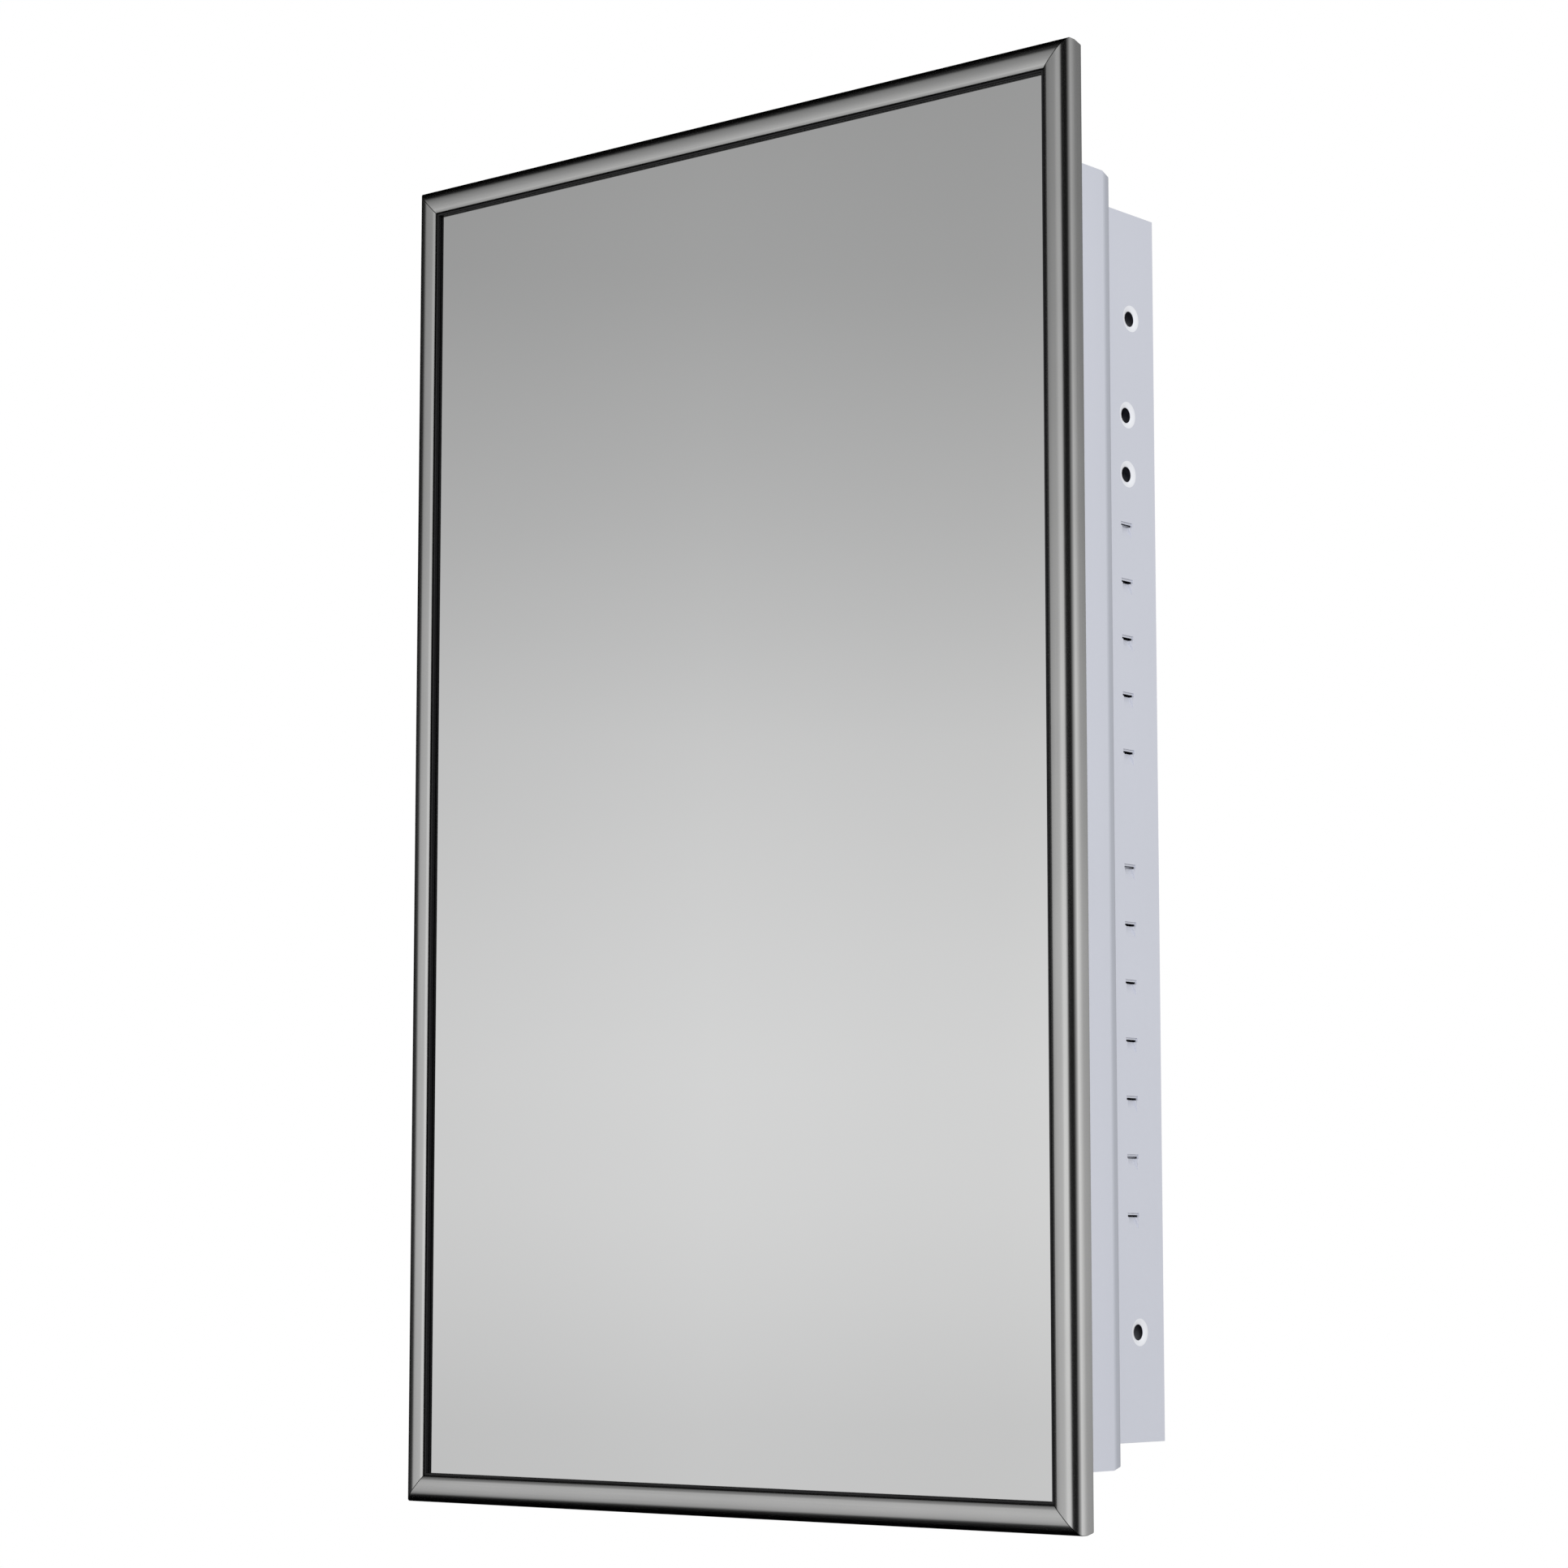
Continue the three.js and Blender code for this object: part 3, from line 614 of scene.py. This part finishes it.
def slit_lip(side, y, z):
    """The sheet above one slit, drawn in so that it nearly closes the slit."""
    out, deep = side * (box_high.x - REST_LIP_DEPTH), side * (box_high.x - ENAMEL_SHEET + 0.05 * MM)
    low, high = z + REST_OPENING, z + REST_SLIT + 0.3 * MM
    profile = [(out, low), (deep, low), (deep, high), (out, high)]
    ends = (y - REST_LENGTH / 2 - 0.3 * MM, y + REST_LENGTH / 2 + 0.3 * MM)
    return lofted("slit_lip", [[(x, end, height) for x, height in profile] for end in ends])


def merged(pieces):
    """One object from several."""
    cage = bmesh.new()
    for piece in pieces:
        cage.from_mesh(piece.data)
        bpy.data.objects.remove(piece)
    mesh = bpy.data.meshes.new("merged")
    cage.to_mesh(mesh)
    cage.free()
    whole = bpy.data.objects.new("merged", mesh)
    scene.collection.objects.link(whole)
    return whole


def side_panel(name, side):
    panel = cad_copy(name)
    soften(panel, SHEET_BREAK)
    holes = [(box_high.y - back, box_high.z - below) for below, back in HOLES]
    cutters = [dimple(side, y, z) for y, z in holes]
    rows = [box_high.z - REST_TOP - place * REST_PITCH for place in REST_PLACES]
    spots = [(y, z) for z in rows for y in (collar_low.y + REST_FRONT, box_high.y - REST_REAR)]
    combine(panel, merged([slit_lip(side, y, z) for y, z in spots]), "UNION")
    combine(panel, merged(cutters + [dent(side, y, z) for y, z in spots]))
    finish_piece(panel, name, ENAMEL)
    # Painted highlight: the sloping faces of each dimple get the brighter enamel.
    panel.data.materials.append(DIMPLE_HIGHLIGHT_ENAMEL)
    for polygon in panel.data.polygons:
        centre = polygon.center
        nearest = min(math.hypot(centre.y - y, centre.z - z) for y, z in holes)
        slopes = abs(polygon.normal.x) < 0.999 and side * polygon.normal.x > 0.5
        polygon.material_index = int(slopes and nearest < DIMPLE_RADIUS)


side_panel("side_right", 1)
side_panel("side_left", -1)

# ---- Sheets, shelves, hinge and catch ----

PANELS = ("top_panel", "bottom_panel", "back_panel", "door_back_pan")
HINGE = ("hinge_leaf_cabinet", "hinge_leaf_door", "hinge_pin")
KEYS = [node for node in sorted(frame["nodes"]) if node.startswith("corner_key")]
softened(PANELS, ENAMEL, SHEET_BREAK)
softened(("shelf_upper", "shelf_middle", "shelf_lower"), ENAMEL, FOLD_BREAK)
softened(("mirror_glass",), MIRROR, SHEET_BREAK)
softened(("backing_board",), BOARD, SHEET_BREAK)
softened(HINGE, STEEL_Z, SHEET_BREAK / 2)
softened(("catch_housing",), PLASTIC, CAST_BREAK)
softened(("catch_magnet",), FERRITE, SHEET_BREAK)
softened(("catch_pole_left", "catch_pole_right", "strike_plate"), ZINC, SHEET_BREAK)
softened(KEYS, ZINC, CAST_BREAK)

# ---- Rivets, screws and bumpers ----


def axis_of(node, index, towards):
    """A round piece's front centre, its axis from front to back, its length and its radius."""
    low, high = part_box(node)
    axis = Vector((0, 0, 0))
    axis[index] = towards
    origin = (low + high) / 2
    origin[index] = low[index] if towards > 0 else high[index]
    return origin, axis, high[index] - low[index], (high.z - low.z) / 2


def rivet(node, towards):
    """A domed rivet."""
    origin, axis, length, head = axis_of(node, 1, towards)
    turns = [math.radians(a) for a in range(10, 91, 10)]
    profile = [
        (0, 0),
        *[(head * math.sin(a), RIVET_HEAD * (1 - math.cos(a))) for a in turns],
        (RIVET_SHANK, RIVET_HEAD),
        (RIVET_SHANK, length - RIVET_TAIL_HEIGHT),
        (RIVET_TAIL, length - RIVET_TAIL_HEIGHT),
        (RIVET_TAIL, length - RIVET_TAIL_BREAK),
        (RIVET_TAIL - RIVET_TAIL_BREAK, length),
        (0, length),
    ]
    finish_piece(turned(f"{node}_finish", profile, origin, axis), node, ZINC)


def recess_arm(origin, axis, along, across, head, depth):
    """One arm of a screw's cross recess, narrowing as it goes in."""
    sections = []
    for level, reach in ((-0.2 * MM, 0.52 * head), (depth, 0.26 * head)):
        middle = origin + axis * level
        corners = ((-1, -1), (1, -1), (1, 1), (-1, 1))
        sections.append([middle + along * (a * reach) + across * (b * 0.14 * head) for a, b in corners])
    return lofted("recess_arm", sections)


def screw(node, index, towards, head_height):
    """A pan-head screw with a cross recess."""
    origin, axis, length, head = axis_of(node, index, towards)
    profile = [
        (0, 0),
        (0.55 * head, 0.02 * MM),
        (0.82 * head, 0.16 * head_height),
        (0.97 * head, 0.5 * head_height),
        (head, 0.86 * head_height),
        (0.95 * head, head_height),
        (SCREW_SHANK, head_height),
        (SCREW_SHANK, length - SCREW_SHANK),
        (0.3 * SCREW_SHANK, length),
        (0, length),
    ]
    piece = turned(f"{node}_finish", profile, origin, axis)
    up = Vector((0, 0, 1))
    level = axis.cross(up)
    for along, across in ((up, level), (level, up)):
        combine(piece, recess_arm(origin, axis, along, across, head, 0.75 * head_height))
    finish_piece(piece, node, ZINC)


def bumper(node):
    """A soft round bumper, fixed at its rear."""
    origin, axis, length, radius = axis_of(node, 1, 1)
    profile = [(0, 0), *arc((radius - BUMPER_NOSE, BUMPER_NOSE), BUMPER_NOSE, -90, 0, 8)]
    profile += [(radius, length - BUMPER_FOOT), (radius - BUMPER_FOOT, length), (0, length)]
    finish_piece(turned(f"{node}_finish", profile, origin, axis), node, RUBBER)


for node in sorted(frame["nodes"]):
    if node.startswith("cabinet_rivet"):
        rivet(node, 1)
    elif node.startswith(("door_rivet", "strike_rivet")):
        rivet(node, -1)
    elif node.startswith("corner_screw"):
        screw(node, 1, -1, CORNER_SCREW_HEAD)
    elif node.startswith("catch_screw"):
        screw(node, 0, -1, CATCH_SCREW_HEAD)
    elif node.startswith("bumper"):
        bumper(node)

# ---- Camera ----

CAMERA_AZIMUTH = math.radians(39.71)
CAMERA_ELEVATION = math.radians(-6.47)
CAMERA_DISTANCE = 1.8427
CAMERA_LENS = 90.2
CAMERA_SHIFT = 0.025
AIM_RIGHT = 0.031
AIM_UP = -0.0088


def camera():
    data = bpy.data.cameras.new("camera")
    data.lens = CAMERA_LENS
    data.sensor_width = 36
    data.shift_y = CAMERA_SHIFT
    data.clip_start = 0.05
    data.clip_end = 60
    right = Vector((math.cos(CAMERA_AZIMUTH), math.sin(CAMERA_AZIMUTH), 0))
    level = Vector((math.sin(CAMERA_AZIMUTH), -math.cos(CAMERA_AZIMUTH), 0))
    up = Vector((0, 0, 1))
    back = level * math.cos(CAMERA_ELEVATION) + up * math.sin(CAMERA_ELEVATION)
    aim = Vector((door_centre.x, door_front, door_centre.z)) + right * AIM_RIGHT + up * AIM_UP
    eye = bpy.data.objects.new("camera", data)
    eye.location = aim + back * CAMERA_DISTANCE
    eye.rotation_euler = (-back).to_track_quat("-Z", "Y").to_euler()
    scene.collection.objects.link(eye)
    scene.camera = eye


# ---- Studio ----

# What metal and mirror see, by height: (degrees above the horizon, brightness)
SKY = (
    (-90, 0.02),
    (-32, 0.02),
    (-26, 0.08),
    (-20, 0.5),
    (-8, 0.6),
    (-2.2, 0.642),
    (-0.6, 0.693),
    (1.1, 0.731),
    (2.8, 0.739),
    (4.4, 0.715),
    (6.1, 0.678),
    (7.7, 0.642),
    (9.4, 0.569),
    (11.0, 0.505),
    (12.7, 0.45),
    (14.3, 0.396),
    (17, 0.36),
    (24, 0.32),
    (29, 0.26),
    (34, 0.05),
    (90, 0.02),
)
# How bright each side of the studio is beside that: (degrees from +X towards +Y, share)
SIDES = (
    (-180, 0.03),
    (-150, 0.08),
    (-142, 0.4),
    (-137, 0.88),
    (-134, 0.93),
    (-130.5, 1.0),
    (-127, 0.965),
    (-120, 1.1),
    (-110, 1.45),
    (-92, 1.4),
    (-80, 0.06),
    (-60, 0.03),
    (-36, 0.04),
    (-18, 0.4),
    (15, 1.0),
    (40, 1.45),
    (56, 1.42),
    (64, 0.72),
    (90, 0.5),
    (112, 0.3),
    (130, 0.08),
    (155, 0.03),
    (180, 0.03),
)
TENT = 0.4  # the even light that matt surfaces see
FLOOR_GLOW = 0.5  # keeps the floor pale out to its rim
FLOOR_RADIUS = 9.0
FLOOR_DROP = 1.15
FLOOR_SIDES = 96
# Soft lights: (name, place, side, watts)
LIGHTS = (
    ("light_key", (2.3, -1.9, 0.5), 1.4, 53),
    ("light_top", (0.3, 0.1, 2.4), 1.6, 22),
    ("light_fill", (-2.2, -0.8, 0.6), 1.6, 10),
)


def studio():
    """White behind the object, a graded surround in reflections, and an even tent of light."""
    world = bpy.data.worlds.new("studio")
    world.cycles.sampling_method = "NONE"
    world.use_nodes = True
    scene.world = world
    tree = world.node_tree
    tree.nodes.clear()

    def worked(operation, *values):
        node = tree.nodes.new("ShaderNodeMath")
        node.operation = operation
        for socket, value in zip(node.inputs, values):
            if isinstance(value, float):
                socket.default_value = value
            else:
                tree.links.new(value, socket)
        return node.outputs[0]

    def graded(value, stops):
        """A ramp over 0 to 1 through (place, level) stops. Levels up to 2 are kept."""
        ramp = tree.nodes.new("ShaderNodeValToRGB")
        elements = ramp.color_ramp.elements
        elements.remove(elements[1])
        for i, (where, level) in enumerate(stops):
            stop = elements.new(where) if i else elements[0]
            stop.position = where
            stop.color = (level / 2, level / 2, level / 2, 1)
        tree.links.new(value, ramp.inputs["Fac"])
        return worked("MULTIPLY", ramp.outputs["Color"], 2.0)

    axes = tree.nodes.new("ShaderNodeSeparateXYZ")
    tree.links.new(tree.nodes.new("ShaderNodeTexCoord").outputs["Generated"], axes.inputs[0])
    x, y, z = axes.outputs
    height = worked("MULTIPLY_ADD", z, 0.5, 0.5)
    by_height = graded(height, [((math.sin(math.radians(e)) + 1) / 2, level) for e, level in SKY])
    heading = worked("MULTIPLY_ADD", worked("ARCTAN2", y, x), 0.5 / math.pi, 0.5)
    by_side = graded(heading, [((a + 180) / 360, share) for a, share in SIDES])
    mirrored = worked("MULTIPLY", by_height, by_side)

    path = tree.nodes.new("ShaderNodeLightPath").outputs
    extra = worked("SUBTRACT", mirrored, TENT)
    soft = worked("MULTIPLY_ADD", extra, path["Is Glossy Ray"], TENT)
    level = worked("MULTIPLY_ADD", worked("SUBTRACT", 1.0, soft), path["Is Camera Ray"], soft)
    background = tree.nodes.new("ShaderNodeBackground")
    background.inputs["Color"].default_value = (1, 1, 1, 1)
    tree.links.new(level, background.inputs["Strength"])
    surface = tree.nodes.new("ShaderNodeOutputWorld").inputs["Surface"]
    tree.links.new(background.outputs[0], surface)


def soft_light(name, spot, size, watts):
    """A large soft panel that lights matt surfaces and doesn't show in the metal."""
    data = bpy.data.lights.new(name, "AREA")
    data.shape = "SQUARE"
    data.size = size
    data.energy = watts
    lamp = bpy.data.objects.new(name, data)
    lamp.location = spot
    lamp.rotation_euler = (-Vector(spot)).to_track_quat("-Z", "Y").to_euler()
    lamp.visible_glossy = False
    scene.collection.objects.link(lamp)


def floor():
    """A plain pale floor, as far below the cabinet as it hangs above a real one."""
    turns = [math.tau * i / FLOOR_SIDES for i in range(FLOOR_SIDES)]
    height = cad_low.z - FLOOR_DROP
    rim = [(FLOOR_RADIUS * math.cos(a), FLOOR_RADIUS * math.sin(a), height) for a in turns]
    slab = mesh_object("floor", rim, [list(range(FLOOR_SIDES))])
    shader = Shader("pale_floor")
    mottle = shader.ranged(shader.noise(1.5), 0, 1)
    tone = shader.blended(mottle, (0.9, 0.9, 0.9), (0.93, 0.93, 0.93))
    shader.drive("Base Color", tone)
    shader.drive("Emission Color", tone)
    shader.set(Roughness=0.9, Emission_Strength=FLOOR_GLOW)
    shader.material.cycles.emission_sampling = "NONE"
    slab.data.materials.append(shader.material)
    slab.visible_glossy = False
    slab.visible_diffuse = False


camera()
studio()
floor()
for light in LIGHTS:
    soft_light(*light)
scene.view_settings.view_transform = "Standard"
